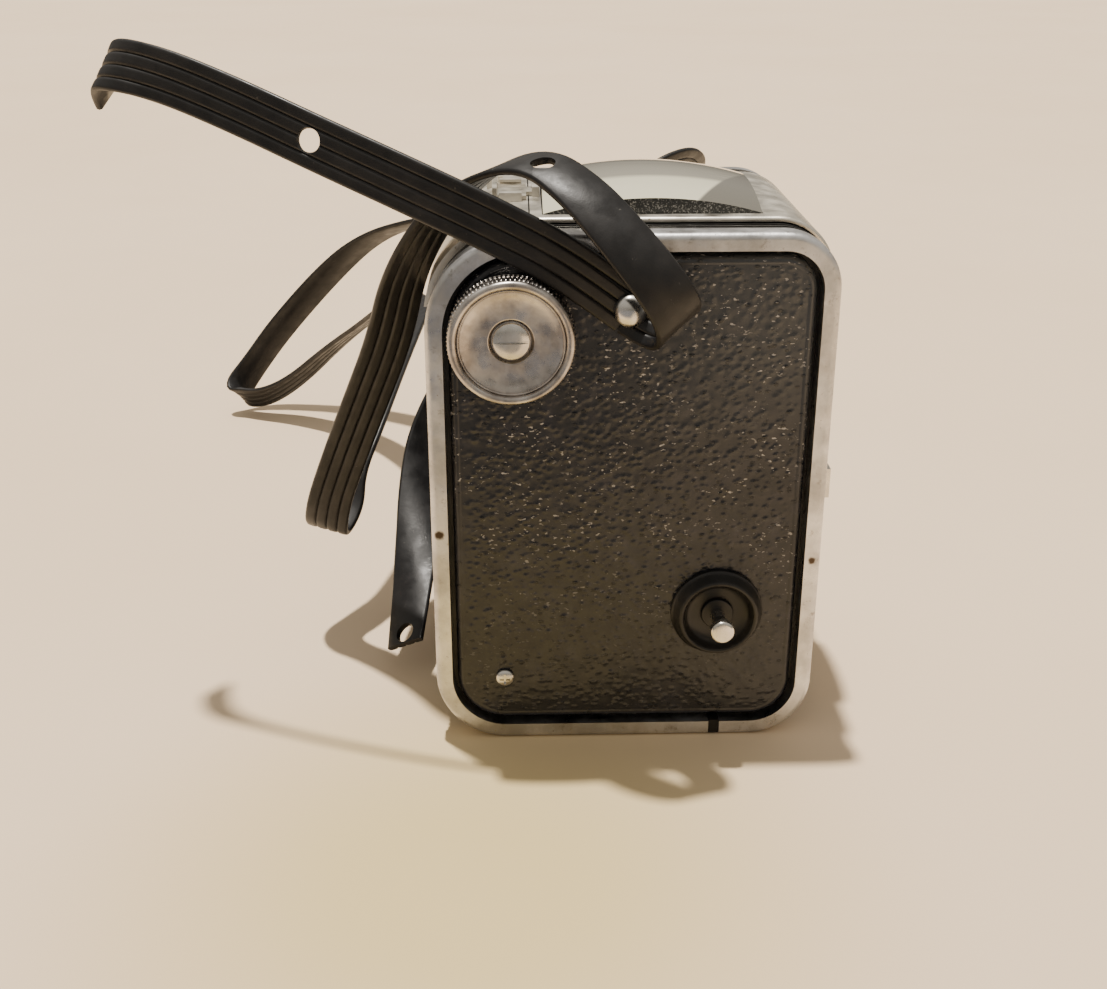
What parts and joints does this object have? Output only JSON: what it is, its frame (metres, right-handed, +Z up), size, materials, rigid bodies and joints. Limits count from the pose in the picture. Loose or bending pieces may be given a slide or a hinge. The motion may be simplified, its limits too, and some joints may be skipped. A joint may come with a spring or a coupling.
{
  "type": "box camera",
  "caption": "Box camera for roll film with a top-viewing square finder, side winding knob, flash contact, bright trim bands and a ribbed neck strap",
  "frame": {"origin": "under the middle of the body, on the surface that the camera stands on", "axes": "+X forward along the lens axis, +Y to the camera's left, +Z up; the winding knob is on -Y"},
  "size_m": [0.1826, 0.2552, 0.1535],
  "materials": {
    "satin_aluminium": "satin, with light handling wear",
    "cover_metal": "bright satin sheet, slightly warm",
    "pebbled_panel": "black pebbled enamel, glossy",
    "black_moulding": "black moulded, semi gloss",
    "black_enamel": "matt black enamel",
    "knob_nickel": "nickel plate, warm and tarnished",
    "bright_nickel": "polished nickel",
    "plain_steel": "plain steel",
    "spool_enamel": "black enamelled tinplate",
    "optical_glass": "polished",
    "mirror_silver": "silvered",
    "red_celluloid": "deep red, clear",
    "brass": "turned",
    "strap_vinyl": "black ribbed vinyl, semi gloss"
  },
  "bodies": {
    "camera": {"right_trim_band": "satin_aluminium", "left_trim_band": "satin_aluminium", "right_side_panel": "pebbled_panel", "left_side_panel": "pebbled_panel", "body_shell": "black_moulding", "shell_top": "black_moulding", "shell_base": "black_moulding", "right_side_wall": "black_moulding", "left_side_wall": "black_moulding", "front_cover": "cover_metal", "back_cover": "black_enamel", "rear_deck": "cover_metal", "back_panel": "pebbled_panel", "latch_guides": "cover_metal", "latch_keeper": "cover_metal", "red_window": "red_celluloid", "image_cone": "black_enamel", "spool_pins": "plain_steel", "plate_springs": "plain_steel", "finder_lens": "optical_glass", "finder_mirror": "mirror_silver", "mirror_carrier": "black_enamel", "finder_ring": "bright_nickel", "finder_front_lens": "optical_glass", "lens_barrel": "black_moulding", "barrel_ring": "bright_nickel", "taking_lens": "optical_glass", "shutter_plate": "black_enamel", "release_spring": "plain_steel", "right_strap_stud": "bright_nickel", "left_strap_stud": "bright_nickel", "side_screws": "bright_nickel", "contact_ring": "black_moulding", "contact_pin": "bright_nickel", "tripod_bush": "brass", "strap_loop": "strap_vinyl", "strap_near_tail": "strap_vinyl", "strap_far_tail": "strap_vinyl"},
    "knob_bush": {"shaft_bush": "plain_steel"},
    "winder": {"winding_shaft": "plain_steel", "winding_knob": "knob_nickel", "knob_screw": "bright_nickel"},
    "takeup_spool": {"takeup_spool": "spool_enamel"},
    "supply_spool": {"supply_spool": "spool_enamel"},
    "upper_roller": {"upper_film_roller": "plain_steel"},
    "lower_roller": {"lower_film_roller": "plain_steel"},
    "pressure_plate": {"pressure_plate": "black_enamel"},
    "latch": {"back_latch": "bright_nickel"},
    "release": {"release_lever": "bright_nickel"},
    "blade": {"shutter_blade": "plain_steel"},
    "time_lever": {"time_lever": "bright_nickel"}
  },
  "joints": [
    {"name": "bush_pull", "type": "slide", "parent": "camera", "child": "knob_bush", "axis": [0, -1, 0], "range_m": [0, 0.0055]},
    {"name": "knob_spin", "type": "hinge", "parent": "knob_bush", "child": "winder", "pos_m": [-0.025, -0.039, 0.097], "axis": [0, -1, 0], "continuous": true},
    {"name": "takeup_spin", "type": "hinge", "parent": "camera", "child": "takeup_spool", "pos_m": [-0.025, 0, 0.097], "axis": [0, -1, 0], "continuous": true},
    {"name": "supply_spin", "type": "hinge", "parent": "camera", "child": "supply_spool", "pos_m": [-0.025, 0, 0.0175], "axis": [0, -1, 0], "continuous": true},
    {"name": "upper_roller_spin", "type": "hinge", "parent": "camera", "child": "upper_roller", "pos_m": [-0.037, 0, 0.08885], "axis": [0, -1, 0], "continuous": true},
    {"name": "lower_roller_spin", "type": "hinge", "parent": "camera", "child": "lower_roller", "pos_m": [-0.037, 0, 0.02565], "axis": [0, -1, 0], "continuous": true},
    {"name": "plate_press", "type": "slide", "parent": "camera", "child": "pressure_plate", "axis": [-1, 0, 0], "range_m": [0, 0.0015], "stiffness_N_per_m": 800, "springref_m": -0.001},
    {"name": "latch_slide", "type": "slide", "parent": "camera", "child": "latch", "axis": [-1, 0, 0], "range_m": [0, 0.004]},
    {"name": "release_press", "type": "slide", "parent": "camera", "child": "release", "axis": [0, 0, -1], "range_m": [0, 0.004], "stiffness_N_per_m": 300, "springref_m": -0.001},
    {"name": "blade_turn", "type": "hinge", "parent": "camera", "child": "blade", "pos_m": [0.032, 0, 0.04575], "axis": [1, 0, 0], "range_deg": [0, 45.1]},
    {"name": "time_slide", "type": "slide", "parent": "camera", "child": "time_lever", "axis": [0, 1, 0], "range_m": [0, 0.005]}
  ],
  "couplings": [
    {"joint": "takeup_spin", "follows": "knob_spin", "ratio": 1},
    {"joint": "blade_turn", "follows": "release_press", "rad_per_m": 196.3}
  ]
}
